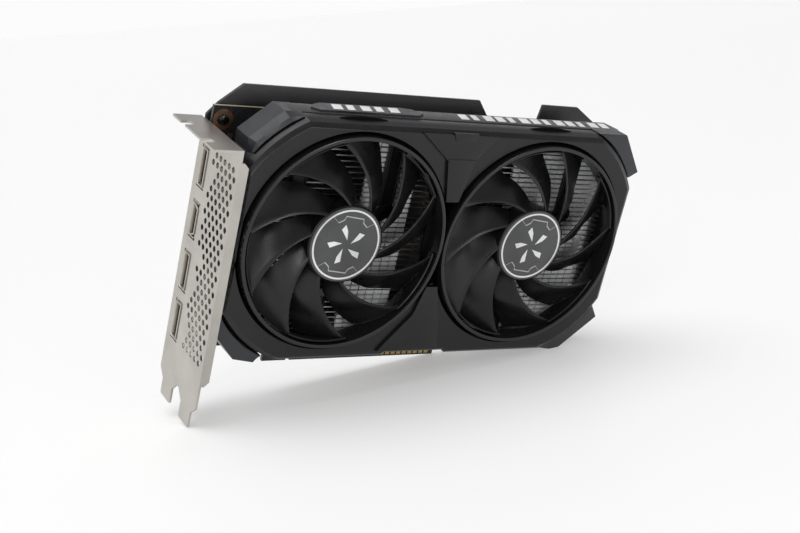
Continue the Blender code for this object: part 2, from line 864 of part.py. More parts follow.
def blades_mesh(name, fan, along=4, across=2):
    """Ten open blade surfaces, given thickness by Solidify."""
    data = bpy.data.meshes.new(name)
    work = bmesh.new()
    for pair in pair_angles(fan):
        for tip in pair:
            grid = [
                [work.verts.new(Vector(blade_station(tip, i / along, j / across)) * MM)
                 for j in range(across + 1)]
                for i in range(along + 1)
            ]
            for i in range(along):
                for j in range(across):
                    work.faces.new((grid[i][j], grid[i][j + 1], grid[i + 1][j + 1], grid[i + 1][j]))
    work.to_mesh(data)
    work.free()
    made = bpy.data.objects.new(name, data)
    bpy.context.scene.collection.objects.link(made)
    thick = made.modifiers.new("thickness", "SOLIDIFY")
    thick.thickness = BLADE_T * MM
    thick.offset = 0.0
    return made


def tip_bands(name, fan, steps=4):
    """Curved bands that link the tips of each blade pair."""
    data = bpy.data.meshes.new(name)
    work = bmesh.new()
    for low, high in pair_angles(fan):
        rows = []
        for i in range(steps + 1):
            angle = radians(low - 1.0 + (high - low + 1.0) * i / steps)
            x = (TIP_R - 0.3) * cos(angle)
            z = (TIP_R - 0.3) * sin(angle)
            front = Vector((x, BLADE_FRONT_Y + 0.1, z)) * MM
            back = Vector((x, BLADE_FRONT_Y + 3.0, z)) * MM
            rows.append((work.verts.new(front), work.verts.new(back)))
        for a, b in zip(rows, rows[1:]):
            work.faces.new((a[0], a[1], b[1], b[0]))
    work.to_mesh(data)
    work.free()
    made = bpy.data.objects.new(name, data)
    bpy.context.scene.collection.objects.link(made)
    thick = made.modifiers.new("thickness", "SOLIDIFY")
    thick.thickness = 0.9 * MM
    thick.offset = 0.0
    return made


def fan_base_outline():
    """Motor base in (x, z) about the fan's axis: a disc with three screw ears."""
    disc = 14.5
    ear = 3.3
    half = degrees(asin(ear / disc))
    points = []
    for index, angle in enumerate(EAR_ANGLES):
        centre = (EAR_R * cos(radians(angle)), EAR_R * sin(radians(angle)))
        points += arc(centre, ear, angle - 90.0, angle + 90.0, 5)
        following = EAR_ANGLES[(index + 1) % 3] + (360.0 if index == 2 else 0.0)
        points += arc((0.0, 0.0), disc, angle + half, following - half, 4)
    return points


def shifted(points, fan):
    return [(x + FAN_X[fan], z + FAN_Z) for x, z in points]


def make_fan(side, fan):
    centre = (FAN_X[fan], 0.0, FAN_Z)
    axis = empty(f"fan_axis_{side}", centre, CARD)
    steps = 24

    hub = turned(
        f"rotor_{side}",
        [(0.0, 2.4), (15.7, 2.4), (15.7, 9.0), (HUB_R, 9.0), (HUB_R, 1.6), (16.4, 1.2), (0.0, 1.2)],
        steps,
    )
    for tool in (blades_mesh(f"blades_{side}", fan), tip_bands(f"bands_{side}", fan)):
        join(hub, tool)
        tool.parent = axis
    finish(hub, BLACK_PLASTIC, 0.38, parent=axis)

    cap = turned(f"hub_cap_{side}", [(0.0, 0.9), (16.3, 0.9), (16.3, 0.3), (15.9, 0.0), (0.0, 0.0)], steps)
    finish(cap, (0.10, 0.10, 0.11), 0.35, 0.4, parent=axis)

    magnet = turned(f"magnet_ring_{side}", ring_profile(14.2, 15.4, (2.7, 8.7)), steps, True)
    finish(magnet, (0.10, 0.09, 0.09), 0.6, parent=axis)

    shaft = turned(f"shaft_{side}", [(0.0, 9.3), (1.0, 9.3), (1.0, 2.7), (0.0, 2.7)], 12)
    finish(shaft, (0.70, 0.70, 0.72), 0.15, 1.0, parent=axis)

    holes = [circle(ear_place(fan, angle), 1.3, 10) for angle in EAR_ANGLES]
    base = plate(f"fan_base_{side}", "Y", BASE_Y, shifted(fan_base_outline(), fan), *holes)
    sleeve = turned(f"sleeve_{side}", ring_profile(1.4, 3.4, (3.6, BASE_Y[0] + 0.4)), 12, True)
    sleeve.location = Vector(centre) * MM
    join(base, sleeve)
    finish(base, BLACK_PLASTIC, 0.5)

    stator = turned(f"stator_{side}", ring_profile(3.8, 13.0, (3.4, 9.0)), steps, True)
    stator.location = Vector(centre) * MM
    finish(stator, (0.60, 0.32, 0.15), 0.4, 0.8)

    for number, angle in enumerate(EAR_ANGLES, 1):
        make_screw(
            f"fan_screw_{side}_{number}",
            ear_place(fan, angle),
            (8.2, BASE_Y[0] - GAP),
            (BASE_Y[0] - GAP, ARM_Y[1] - 0.4),
            2.1,
            0.95,
        )


# ---------------------------------------------------------------- the card
def build():
    make_bracket()
    for number, z in enumerate(DP_Z, 1):
        make_port(f"displayport_{number}", z, DP_SIZE, DP_MOUTH, 0.5)
    make_port("hdmi_port", HDMI_Z, HDMI_SIZE, HDMI_MOUTH, 1.3)
    make_pcb()
    make_contacts()
    make_board_parts()
    make_power_connector()
    make_fan_header()
    make_backplate()
    make_screw("board_screw", BOSS_SCREW, (PCB_Y[0] - GAP - 1.5, PCB_Y[0] - GAP),
               (PCB_Y[0] - GAP, BACK_Y[0] - 0.4), 3.1, 1.45)
    make_fins()
    make_heat_pipes()
    make_cold_plate()
    make_shroud()
    make_guards()
    make_badge()
    for fan, side in enumerate(("left", "right")):
        make_fan(side, fan)


build()
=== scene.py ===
"""Looks for the dual-fan graphics card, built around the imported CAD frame.

Lengths are in millimetres in the card's own coordinates: x from the bracket's outer face, y from the
bracket's front edge towards the back and z up from the tips of the bracket's tabs. at() turns them into
the frame's metres. The fans face -Y.
"""
import json
from math import asin, cos, degrees, pi, radians, sin, sqrt

import bmesh
import bpy
from mathutils import Matrix, Vector


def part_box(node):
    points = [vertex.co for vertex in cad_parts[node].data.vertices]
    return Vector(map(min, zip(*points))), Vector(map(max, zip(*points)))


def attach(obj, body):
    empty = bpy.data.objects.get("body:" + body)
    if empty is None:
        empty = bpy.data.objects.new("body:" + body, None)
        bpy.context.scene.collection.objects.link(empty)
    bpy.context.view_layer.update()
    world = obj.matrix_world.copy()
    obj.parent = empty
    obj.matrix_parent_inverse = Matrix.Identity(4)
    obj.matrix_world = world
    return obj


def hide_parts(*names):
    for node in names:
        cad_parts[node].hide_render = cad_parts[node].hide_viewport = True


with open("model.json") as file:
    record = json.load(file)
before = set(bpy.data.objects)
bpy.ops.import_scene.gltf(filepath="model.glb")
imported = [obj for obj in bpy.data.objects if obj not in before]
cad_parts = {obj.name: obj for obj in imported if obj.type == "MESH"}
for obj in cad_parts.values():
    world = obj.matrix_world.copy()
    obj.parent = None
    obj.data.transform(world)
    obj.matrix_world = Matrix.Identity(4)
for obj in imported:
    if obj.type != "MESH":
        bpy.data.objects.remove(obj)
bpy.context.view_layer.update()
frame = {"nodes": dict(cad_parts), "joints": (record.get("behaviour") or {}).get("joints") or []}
NODES = frame["nodes"]

MM = 0.001
FLANGE_OUT = 11.6                                  # the bracket's flange, beyond its outer face
BRACKET_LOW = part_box("io_bracket")[0]
ORIGIN = BRACKET_LOW + Vector((FLANGE_OUT * MM, 0.0, 0.0))


def in_card(point):
    """A point of the frame, in card millimetres."""
    return (Vector(point) - ORIGIN) / MM


def box_mm(node):
    low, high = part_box(node)
    return in_card(low), in_card(high)


# Sizes read from the frame
SHROUD_LOW, SHROUD_HIGH = box_mm("shroud")
PCB_LOW, PCB_HIGH = box_mm("pcb")
BACK_LOW, BACK_HIGH = box_mm("backplate")
BADGE_HIGH = box_mm("badge_plate")[1]
FINS = {side: box_mm(f"fin_stack_{side}") for side in ("left", "right")}
AXES = {joint["child"]: in_card(joint["pos_m"]) for joint in frame["joints"]}
FAN_X = (AXES["fan_left"].x, AXES["fan_right"].x)
FAN_Z = AXES["fan_left"].z
MIDDLE_X = sum(FAN_X) / 2

# Shroud
LIP_Y = SHROUD_LOW.y                               # front of the raised lips
FACE_Y = 1.6
SHROUD_BOTTOM = SHROUD_LOW.z
SKIRT_Y = SHROUD_HIGH.y
LIP_R = (44.3, 45.95)
GROOVE_R = 47.2
GAP_Z = 19.0                                       # half height of the black gap between the fans
NOTCH_X = (82.6, 115.4)                            # raised stretch of the lower edge
NOTCH_RISE = 1.2
DUCT_END_Y = 9.4
CORNER_R = 57.0
GUARD_R = CORNER_R + 0.3

# Fans
HUB_R = 16.9
TIP_R = 43.5
PAIR_CENTRE = (49.0, 31.0)
PAIR_PITCH = 72.0
PAIR_SPREAD = 35.0
BLADE_SWEEP = 48.0
BLADE_CHORD = 26.5
BLADE_T = 1.1
EAR_R = 24.25
EAR_ANGLES = (28.0, 148.0, 268.0)
ARM_Y = (11.1, 13.1)

# Cooler and board
TAB_REACH = 50.0                                   # fin tabs are drawn within this distance of a fan's axis
SCREW_HEAD_R = 2.3

# Camera, in card millimetres and degrees
CAMERA_AT = (-226.718, -450.1, 274.1)
CAMERA_AZIMUTH = -34.339
CAMERA_ELEVATION = 20.276
CAMERA_ROLL = 13.069
CAMERA_LENS = 63.22


def at(point):
    return ORIGIN + Vector(point) * MM


# ---------------------------------------------------------------- materials
def nodes_of(name):
    made = bpy.data.materials.new(name)
    made.use_nodes = True
    tree = made.node_tree
    shader = tree.nodes["Principled BSDF"]
    return made, tree, shader


def noise(tree, scale, detail=4.0, stretch=(1.0, 1.0, 1.0), rough=0.55):
    """Noise in object space, in features per metre."""
    where = tree.nodes.new("ShaderNodeTexCoord")
    spread = tree.nodes.new("ShaderNodeMapping")
    spread.inputs["Scale"].default_value = stretch
    texture = tree.nodes.new("ShaderNodeTexNoise")
    texture.inputs["Scale"].default_value = scale
    texture.inputs["Detail"].default_value = detail
    texture.inputs["Roughness"].default_value = rough
    tree.links.new(where.outputs["Object"], spread.inputs["Vector"])
    tree.links.new(spread.outputs["Vector"], texture.inputs["Vector"])
    return texture.outputs["Fac"]


def ramp(tree, value, low, high, start=0.3, end=0.7):
    """A colour that runs from low to high as value runs from start to end."""
    made = tree.nodes.new("ShaderNodeValToRGB")
    made.color_ramp.elements[0].position = start
    made.color_ramp.elements[1].position = end
    made.color_ramp.elements[0].color = (*low, 1.0)
    made.color_ramp.elements[1].color = (*high, 1.0)
    tree.links.new(value, made.inputs["Fac"])
    return made.outputs["Color"]


def remap(tree, value, low, high):
    made = tree.nodes.new("ShaderNodeMapRange")
    made.inputs["From Min"].default_value = 0.3
    made.inputs["From Max"].default_value = 0.7
    made.inputs["To Min"].default_value = low
    made.inputs["To Max"].default_value = high
    tree.links.new(value, made.inputs["Value"])
    return made.outputs["Result"]


def bump(tree, shader, value, strength, distance):
    made = tree.nodes.new("ShaderNodeBump")
    made.inputs["Strength"].default_value = strength
    made.inputs["Distance"].default_value = distance
    tree.links.new(value, made.inputs["Height"])
    tree.links.new(made.outputs["Normal"], shader.inputs["Normal"])


def tint(colour, factor):
    return tuple(min(1.0, c * factor) for c in colour)


def plastic(name, colour, roughness, grain=0.12, specular=0.5, coat=0.0):
    """Moulded plastic: fine spark-eroded grain, faint flow marks and handling marks."""
    made, tree, shader = nodes_of(name)
    broad = noise(tree, 60.0, 3.0)
    colour_out = ramp(tree, broad, tint(colour, 0.82), tint(colour, 1.18))
    tree.links.new(colour_out, shader.inputs["Base Color"])
    patches = noise(tree, 210.0, 5.0)
    rough_out = remap(tree, patches, roughness - 0.06, roughness + 0.07)
    tree.links.new(rough_out, shader.inputs["Roughness"])
    shader.inputs["Specular IOR Level"].default_value = specular
    shader.inputs["Coat Weight"].default_value = coat
    bump(tree, shader, noise(tree, 5200.0, 2.0), grain, 0.00006)
    return made


def metal(name, colour, roughness, stretch=(1.0, 1.0, 1.0), scale=1400.0, strength=0.10, wear=0.12,
          metallic=1.0):
    """Bare metal with rolling marks along the unstretched direction and faint smudges."""
    made, tree, shader = nodes_of(name)
    smudge = noise(tree, 55.0, 5.0)
    colour_out = ramp(tree, smudge, tint(colour, 1.0 - wear), tint(colour, 1.0 + wear * 0.6))
    tree.links.new(colour_out, shader.inputs["Base Color"])
    shader.inputs["Metallic"].default_value = metallic
    marks = noise(tree, scale, 4.0, stretch)
    rough_out = remap(tree, marks, roughness - 0.07, roughness + 0.10)
    tree.links.new(rough_out, shader.inputs["Roughness"])
    bump(tree, shader, marks, strength, 0.00005)
    return made


def board_material():
    """Black solder mask over faint copper tracks; the sawn upper edge shows the pale laminate."""
    made, tree, shader = nodes_of("board_laminate")
    geometry = tree.nodes.new("ShaderNodeNewGeometry")
    split = tree.nodes.new("ShaderNodeSeparateXYZ")
    size = tree.nodes.new("ShaderNodeMath")
    size.operation = "ABSOLUTE"
    face = tree.nodes.new("ShaderNodeMath")
    face.operation = "GREATER_THAN"
    face.inputs[1].default_value = 0.6
    under = tree.nodes.new("ShaderNodeMath")
    under.operation = "LESS_THAN"
    under.inputs[1].default_value = 0.3
    masked = tree.nodes.new("ShaderNodeMath")
    masked.operation = "MAXIMUM"
    mix = tree.nodes.new("ShaderNodeMix")
    mix.data_type = "RGBA"
    tracks = ramp(tree, noise(tree, 900.0, 1.0, (1.0, 1.0, 3.0)), (0.006, 0.007, 0.007),
                  (0.022, 0.024, 0.022), 0.48, 0.52)
    edge = ramp(tree, noise(tree, 1800.0, 3.0), (0.26, 0.22, 0.15), (0.42, 0.37, 0.27))
    tree.links.new(geometry.outputs["Normal"], split.inputs["Vector"])
    tree.links.new(split.outputs["Y"], size.inputs[0])
    tree.links.new(size.outputs[0], face.inputs[0])
    tree.links.new(split.outputs["Z"], under.inputs[0])
    tree.links.new(face.outputs[0], masked.inputs[0])
    tree.links.new(under.outputs[0], masked.inputs[1])
    tree.links.new(masked.outputs[0], mix.inputs["Factor"])
    tree.links.new(edge, mix.inputs["A"])
    tree.links.new(tracks, mix.inputs["B"])
    tree.links.new(mix.outputs["Result"], shader.inputs["Base Color"])
    shader.inputs["Roughness"].default_value = 0.38
    bump(tree, shader, noise(tree, 900.0, 1.0, (1.0, 1.0, 3.0)), 0.25, 0.00005)
    return made


MATERIALS = {
    "shroud": plastic("shroud_plastic", (0.0055, 0.0055, 0.0058), 0.31, 0.10, 0.40),
    "guard": plastic("guard_plastic", (0.020, 0.021, 0.025), 0.36, 0.16, 0.5),
    "blade": plastic("blade_plastic", (0.0050, 0.0050, 0.0052), 0.31, 0.06, 0.40),
    "lip": plastic("lip_plastic", (0.006, 0.006, 0.0062), 0.20, 0.04, 0.5),
    # near-black, matt and barely specular: painted shade for the floor of the groove round each fan
    "groove_shade": plastic("channel_painted_shade", (0.002, 0.002, 0.002), 0.7, 0.05, 0.1),
    # much paler and less metallic than fin_aluminium: painted highlight on the fin tabs that catch the light
    "tabs": metal("tab_aluminium_painted_highlight", (0.93, 0.935, 0.94), 0.34, (0.2, 3.0, 3.0), 260.0, 0.03, 0.06, 0.35),
    "deep": plastic("motor_plastic", (0.005, 0.005, 0.005), 0.45, 0.10, 0.25),
    "emblem": plastic("emblem_plate", (0.055, 0.056, 0.058), 0.33, 0.20, 0.5),
    "strip": plastic("strip_plastic", (0.045, 0.045, 0.047), 0.42, 0.10, 0.5),
    "print": plastic("white_print", (0.72, 0.72, 0.71), 0.45, 0.04, 0.4),
    "line": plastic("grey_print", (0.42, 0.42, 0.42), 0.40, 0.04, 0.4),
    "bracket": metal("bracket_steel", (0.50, 0.475, 0.44), 0.34, (1.0, 14.0, 1.0), 900.0, 0.06, 0.13),
    "socket": metal("socket_steel", (0.50, 0.47, 0.42), 0.34, (1.0, 1.0, 9.0), 900.0, 0.08, 0.16),
    "fins": metal("fin_aluminium", (0.42, 0.425, 0.43), 0.38, (0.2, 3.0, 3.0), 260.0, 0.015, 0.06),
    "pad": metal("pad_copper", (0.36, 0.20, 0.125), 0.42, (1.0, 1.0, 1.0), 700.0, 0.10, 0.25),
    "copper": metal("pipe_copper", (0.74, 0.42, 0.26), 0.26, (1.0, 12.0, 12.0), 700.0, 0.05, 0.16),
    "base": metal("base_metal", (0.76, 0.74, 0.71), 0.24, (8.0, 1.0, 1.0), 900.0, 0.05, 0.10),
    # gold darkened below bare gold: painted shade for the edge contacts under the card; the socket contacts
    # share it
    "gold": metal("contact_gold_painted_shade", (0.58, 0.40, 0.17), 0.30, (6.0, 1.0, 1.0), 900.0, 0.05, 0.10),
    "dark_metal": metal("black_oxide", (0.045, 0.045, 0.047), 0.33, (1.0, 1.0, 1.0), 2500.0, 0.10, 0.2),
    "backplate": plastic("backplate_paint", (0.006, 0.006, 0.0066), 0.40, 0.20, 0.5, 0.06),
    "board": board_material(),
    "chip": plastic("chip_epoxy", (0.018, 0.018, 0.019), 0.55, 0.30, 0.4),
    "die": plastic("die_silicon", (0.16, 0.17, 0.20), 0.14, 0.01, 0.6),
    "substrate": plastic("substrate_laminate", (0.03, 0.075, 0.04), 0.42, 0.15, 0.4),
    "choke": plastic("choke_ferrite", (0.11, 0.11, 0.12), 0.62, 0.35, 0.4),
    "can": metal("can_aluminium", (0.76, 0.77, 0.79), 0.28, (1.0, 1.0, 1.0), 1800.0, 0.08, 0.10),
    "header": plastic("header_nylon", (0.70, 0.69, 0.62), 0.48, 0.08, 0.5),
    "magnet": plastic("magnet_ferrite", (0.07, 0.065, 0.06), 0.62, 0.25, 0.4),
}

CAD_LOOKS = {
    "io_bracket": "bracket", "displayport_": "socket", "hdmi_port": "socket", "pcb": "board",
    "edge_contacts": "gold", "gpu_substrate": "substrate", "gpu_die": "die", "memory_": "chip",
    "inductor_": "choke", "capacitor_": "can", "power_connector": "deep", "fan_header": "header",
    "backplate": "backplate", "board_screw": "dark_metal", "fin_stack_": "fins",
    "heat_pipe_": "copper", "cold_plate": "base", "cooler_screw_": "dark_metal",
    "badge_plate": "guard", "magnet_ring_": "magnet", "shaft_": "base", "fan_base_": "deep",
    "stator_": "copper", "fan_screw_": "dark_metal",
}
for node, obj in NODES.items():
    for prefix, look in CAD_LOOKS.items():
        if node.startswith(prefix):
            for entry in obj.material_slots:
                entry.material = MATERIALS[look]


# ---------------------------------------------------------------- mesh helpers
def piece(name, data, look, body="card", sharp=35.0):
    """Links a finished mesh, given in metres, as a piece of the object."""
    made = bpy.data.objects.new(name, data)
    bpy.context.scene.collection.objects.link(made)
    data.materials.clear()
    data.materials.append(MATERIALS[look])
    data.shade_smooth()
    data.set_sharp_from_angle(angle=radians(sharp))
    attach(made, body)
    return made


def mesh_of(name, points, faces):
    """A mesh from card points; faces are wound outwards by Blender itself."""
    data = bpy.data.meshes.new(name)
    data.from_pydata([at(p) for p in points], [], faces)
    work = bmesh.new()
    work.from_mesh(data)
    bmesh.ops.remove_doubles(work, verts=work.verts, dist=0.0000005)
    bmesh.ops.recalc_face_normals(work, faces=work.faces)
    work.to_mesh(data)
    work.free()
    return data


def round_edges(obj, width, segments=2, angle=32.0):
    step = obj.modifiers.new("edges", "BEVEL")
    step.width = width * MM
    step.segments = segments
    step.limit_method = "ANGLE"
    step.angle_limit = radians(angle)
    step.use_clamp_overlap = True
    return obj


def rings_mesh(name, rings, closed_rings=False, capped=True):
    """A skin over rings that each have the same number of points."""
    count = len(rings[0])
    points = [p for ring in rings for p in ring]
    faces = []
    spans = len(rings) if closed_rings else len(rings) - 1
    for i in range(spans):
        a = i * count
        b = (i + 1) % len(rings) * count
        for j in range(count):
            k = (j + 1) % count
            faces.append((a + j, a + k, b + k, b + j))
    if capped and not closed_rings:
        faces.append(tuple(range(count)))
        faces.append(tuple(range((len(rings) - 1) * count, len(rings) * count)))
    return mesh_of(name, points, faces)


def turned(name, profile, centre, steps, closed=True):
    """A profile of (r, y) turned about an axis along Y through centre (x, z)."""
    rings = []
    for i in range(steps):
        angle = 2 * pi * i / steps
        rings.append([(centre[0] + r * cos(angle), y, centre[1] + r * sin(angle)) for r, y in profile])
    if closed:
        return rings_mesh(name, rings, closed_rings=True)
    points = [p for ring in rings for p in ring]
    count = len(profile)
    faces = []
    for i in range(steps):
        a = i * count
        b = (i + 1) % steps * count
        for j in range(count - 1):
            faces.append((a + j, a + j + 1, b + j + 1, b + j))
    faces.append(tuple(i * count for i in range(steps)))
    faces.append(tuple(i * count + count - 1 for i in range(steps)))
    return mesh_of(name, points, faces)


def flat(name, loops, span, edge=0.25, axis="Y"):
    """A flat plate with softened edges, from an outline and holes given across the axis.

    Loops are (x, z) for axis Y and (x, y) for axis Z; span is the plate's extent along the axis.
    """
    curve = bpy.data.curves.new(name, "CURVE")
    curve.dimensions = "2D"
    curve.fill_mode = "BOTH"
    curve.extrude = (span[1] - span[0]) / 2 - edge
    curve.bevel_depth = edge
    curve.bevel_resolution = 1
    for loop in loops:
        line = curve.splines.new("POLY")
        line.points.add(len(loop) - 1)
        for point, (u, v) in zip(line.points, loop):
            point.co = (u, v, 0.0, 1.0)
        line.use_cyclic_u = True
    holder = bpy.data.objects.new(name, curve)
    bpy.context.scene.collection.objects.link(holder)
    bpy.context.view_layer.update()
    data = bpy.data.meshes.new_from_object(holder.evaluated_get(bpy.context.evaluated_depsgraph_get()))
    bpy.data.objects.remove(holder)
    middle = sum(span) / 2
    points = []
    for vertex in data.vertices:
        u, v, w = vertex.co
        points.append((u, middle - w, v) if axis == "Y" else (u, v, middle + w))
    faces = [tuple(face.vertices) for face in data.polygons]
    bpy.data.meshes.remove(data)
    return mesh_of(name, points, faces)


def block(name, x, y, z):
    corners = [(x[i], y[j], z[k]) for i, j, k in
               ((0, 0, 0), (1, 0, 0), (1, 1, 0), (0, 1, 0), (0, 0, 1), (1, 0, 1), (1, 1, 1), (0, 1, 1))]
    faces = [(0, 1, 2, 3), (4, 5, 6, 7), (0, 1, 5, 4), (1, 2, 6, 5), (2, 3, 7, 6), (3, 0, 4, 7)]
    return mesh_of(name, corners, faces)


def joined(name, parts):
    """One mesh from several."""
    work = bmesh.new()
    for data in parts:
        work.from_mesh(data)
        bpy.data.meshes.remove(data)
    made = bpy.data.meshes.new(name)
    work.to_mesh(made)
    work.free()
    return made


def arc(centre, radius, start, end, steps):
    return [
        (centre[0] + radius * cos(radians(start + (end - start) * i / steps)),
         centre[1] + radius * sin(radians(start + (end - start) * i / steps)))
        for i in range(steps + 1)
    ]


# ---------------------------------------------------------------- shroud
def shroud_outline(inset, left_inset=None, bottom_inset=None, steps=14):
    """The body's outline in (x, z): four corners on arcs about the fans."""
    radius = CORNER_R - inset
    left = SHROUD_LOW.x + (inset if left_inset is None else left_inset)
    right = SHROUD_HIGH.x - inset
    bottom = SHROUD_BOTTOM + (inset if bottom_inset is None else bottom_inset)
    top = SHROUD_HIGH.z - inset

    def steep(fan, x):
        return degrees(asin(sqrt(radius ** 2 - (x - FAN_X[fan]) ** 2) / radius))

    def shallow(z):
        return degrees(asin(abs(z - FAN_Z) / radius))

    def sweep(fan, start, end):
        return arc((FAN_X[fan], FAN_Z), radius, start, end, steps)

    notch = bottom + NOTCH_RISE
    return [
        *sweep(1, 360.0 - shallow(bottom), 360.0 - steep(1, right)),
        *sweep(1, steep(1, right), shallow(top)),
        *sweep(0, 180.0 - shallow(top), 180.0 - steep(0, left)),
        *sweep(0, 180.0 + steep(0, left), 180.0 + shallow(bottom)),
        (NOTCH_X[0], bottom), (NOTCH_X[0] + 1.6, notch), (NOTCH_X[1] - 1.6, notch), (NOTCH_X[1], bottom),
    ]


def fan_opening(radius, steps=72):
    """The two fan openings as one loop, with a narrow gap between them."""
    meet = degrees(asin(GAP_Z / radius))
    left = arc((FAN_X[0], FAN_Z), radius, meet, 360.0 - meet, steps)
    right = arc((FAN_X[1], FAN_Z), radius, 180.0 + meet, 540.0 - meet, steps)
    return [*left[:-1], *right[:-1]]


def make_shroud_body():
    """Front face, sloping shoulder and side walls."""
    face = flat("face", [shroud_outline(3.0, 1.2, 1.7), fan_opening(GROOVE_R + 0.25)],
                (FACE_Y, FACE_Y + 2.4), 0.3)
    skirt = SKIRT_Y
    profile = (                      # inset, left inset, bottom inset, y
        (3.4, 1.5, 1.7, FACE_Y + 0.25), (2.7, 0.9, 0.8, FACE_Y + 0.05), (2.2, 0.7, 0.2, FACE_Y + 0.5),
        (0.9, 0.35, -0.5, 2.9), (0.3, 0.1, -0.5, 5.6), (0.0, 0.0, 0.0, 7.0), (0.0, 0.0, 0.0, 10.4),
        (0.5, 0.4, 0.3, 10.7), (0.5, 0.4, 0.3, 11.5), (0.0, 0.0, 0.0, 11.8), (0.0, 0.0, 0.0, skirt - 0.4),
        (0.4, 0.4, 0.4, skirt), (1.6, 1.6, 1.6, skirt), (2.0, 2.0, 2.0, skirt - 0.4), (2.0, 2.0, 2.0, 7.6),
        (3.6, 1.7, 2.4, 4.4),
    )
    rings = [
        [(x, y, z) for x, z in shroud_outline(inset, left_inset, bottom_inset)]
        for inset, left_inset, bottom_inset, y in profile
    ]
    walls = rings_mesh("walls", rings, closed_rings=True)
    made = piece("shroud_body", joined("shroud_body", [face, walls]), "shroud", sharp=20.0)
    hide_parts("shroud")
    return made


def make_lips():
    """Raised rings about the fans, with the channel round them and the ducts behind; the channel's floor is a
    near-black matt ring, painted shade that makes the groove read deep.
    """
    inner, outer = LIP_R
    for side, x in zip(("left", "right"), FAN_X):
        soft = 0.4
        profile = [
            (inner, DUCT_END_Y), (inner, LIP_Y + soft), (inner + 0.12, LIP_Y + 0.12),
            (inner + soft, LIP_Y), (outer - soft, LIP_Y), (outer - 0.12, LIP_Y + 0.12),
            (outer, LIP_Y + soft), (outer, 5.0), (outer + 0.4, DUCT_END_Y),
        ]
        made = piece(f"fan_lip_{side}", turned(f"fan_lip_{side}", profile, (x, FAN_Z), 144), "lip")
        # the channel floor is painted shade: darker and duller than the shroud plastic
        floor = [(outer - 0.2, 6.6), (52.0, 6.6), (52.0, 7.4), (outer - 0.2, 7.4)]
        made = piece(f"fan_channel_{side}", turned(f"fan_channel_{side}", floor, (x, FAN_Z), 96), "groove_shade")


def make_wedges():
    """Raised angular plates between the fans, above and below, with a raised fold and a tab at the upper one.
    """
    upper = [(MIDDLE_X - 2.9, 101.8), (MIDDLE_X + 2.9, 101.8), (MIDDLE_X + 6.1, 119.6),
             (MIDDLE_X + 14.6, 130.4), (MIDDLE_X - 20.4, 130.4), (MIDDLE_X - 6.6, 119.6)]
    lower = [(MIDDLE_X - 2.6, 62.8), (MIDDLE_X - 6.2, 50.0), (MIDDLE_X - 15.5, 38.8),
             (MIDDLE_X - 19.6, 33.6), (MIDDLE_X + 9.6, 33.6), (MIDDLE_X + 7.6, 44.0),
             (MIDDLE_X + 2.6, 62.8)]
    for name, outline in (("upper", upper), ("lower", lower)):
        made = piece(f"centre_wedge_{name}",
                     flat(f"centre_wedge_{name}", [outline], (FACE_Y - 1.5, FACE_Y + 0.6), 0.35), "shroud")
    fold = [(MIDDLE_X - 6.2, 119.2), (MIDDLE_X + 5.7, 119.2),
            (MIDDLE_X + 6.3, 120.2), (MIDDLE_X - 6.8, 120.2)]
    tab = [(MIDDLE_X - 6.8, 131.4), (MIDDLE_X - 5.6, 128.6),
           (MIDDLE_X + 3.6, 128.6), (MIDDLE_X + 4.8, 131.4)]
    for name, outline, rise in (("fold", fold, 1.75), ("tab", tab, 1.9)):
        raised = flat(f"centre_{name}", [outline], (FACE_Y - rise, FACE_Y), 0.15)
        made = piece(f"centre_{name}", raised, "shroud")


def make_arms():
    """Spokes that carry the fan motors, with ribs along them."""
    for side, fan_x in zip(("left", "right"), FAN_X):
        parts = []
        for angle in EAR_ANGLES:
            x = fan_x + EAR_R * cos(radians(angle))
            z = FAN_Z + EAR_R * sin(radians(angle))
            reach = (z - 4.0, SHROUD_HIGH.z - 1.5) if z > FAN_Z else (SHROUD_BOTTOM + 1.5, z + 4.0)
            parts.append(block("arm", (x - 3.5, x + 3.5), ARM_Y, reach))
            for edge in (-3.1, 2.3):
                parts.append(block("rib", (x + edge, x + edge + 0.8), (ARM_Y[0] - 0.6, ARM_Y[1]), reach))
        made = piece(f"motor_arms_{side}", joined(f"motor_arms_{side}", parts), "deep")
        round_edges(made, 0.25)


# ---------------------------------------------------------------- corner guards
def guard(name, outer, fan, start, end, fold, steps=18):
    """A corner guard between an arc about the fan and an angular outer line.

    Its front is a facet that slopes back to a fold, and its side runs straight back from there.
    """
    inner = arc((FAN_X[fan], FAN_Z), GUARD_R, start, end, steps)
    lengths = [(Vector(b) - Vector(a)).length for a, b in zip(outer, outer[1:])]
    total = sum(lengths)

    def along(share):
        walked = share * total
        for a, b, length in zip(outer, outer[1:], lengths):
            if walked <= length + 1e-9:
                return Vector(a).lerp(Vector(b), walked / length)
            walked -= length
        return Vector(outer[-1])

    shares = [i / steps for i in range(steps + 1)]
    for i in range(1, len(lengths)):
        corner = sum(lengths[:i]) / total
        nearest = min(range(1, steps), key=lambda j: abs(shares[j] - corner))
        shares[nearest] = corner
    back = SKIRT_Y
    rings = []
    for share, (xi, zi) in zip(shares, inner):
        xo, zo = along(share)
        xm, zm = xi + (xo - xi) * 0.5, zi + (zo - zi) * 0.5
        rise = min(5.8, fold - 0.6)
        rings.append([(xi, rise + 0.8, zi), (xi + (xo - xi) * 0.08, rise, zi + (zo - zi) * 0.08),
                      (xm, rise + (fold - rise) * 0.32, zm), (xo, fold, zo), (xo, back, zo), (xi, back, zi)])
    made = piece(name + "_shell", rings_mesh(name, rings), "guard", sharp=14.0)
    round_edges(made, 0.35)
    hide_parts(name)


